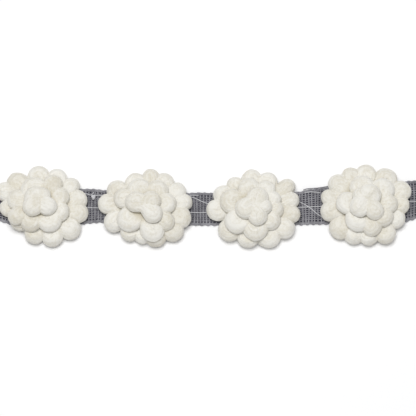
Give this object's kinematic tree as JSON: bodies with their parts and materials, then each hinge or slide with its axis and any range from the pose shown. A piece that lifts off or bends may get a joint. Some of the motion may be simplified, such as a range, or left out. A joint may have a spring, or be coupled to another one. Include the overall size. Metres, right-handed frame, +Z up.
{
  "type": "flower trim",
  "caption": "Cut length of crochet flower trim: soft ivory rosettes of padded yarn loops, sewn along a loosely woven grey tape.",
  "frame": {"origin": "middle of the cut length, on the underside of the tape", "axes": "+X along the tape, to the right as seen from the front; +Y to the tape's back edge; +Z up, out of the rosettes"},
  "size_m": [0.195, 0.0386, 0.0148],
  "materials": {
    "grey_tape": "matt open weave",
    "ivory_yarn": "matt soft fleecy yarn"
  },
  "bodies": {
    "root": {"tape": "grey_tape", "rosette_1_outer": "ivory_yarn", "rosette_1_middle": "ivory_yarn", "rosette_1_heart": "ivory_yarn", "rosette_2_outer": "ivory_yarn", "rosette_2_middle": "ivory_yarn", "rosette_2_heart": "ivory_yarn", "rosette_3_outer": "ivory_yarn", "rosette_3_middle": "ivory_yarn", "rosette_3_heart": "ivory_yarn", "rosette_4_outer": "ivory_yarn", "rosette_4_middle": "ivory_yarn", "rosette_4_heart": "ivory_yarn"}
  },
  "joints": []
}
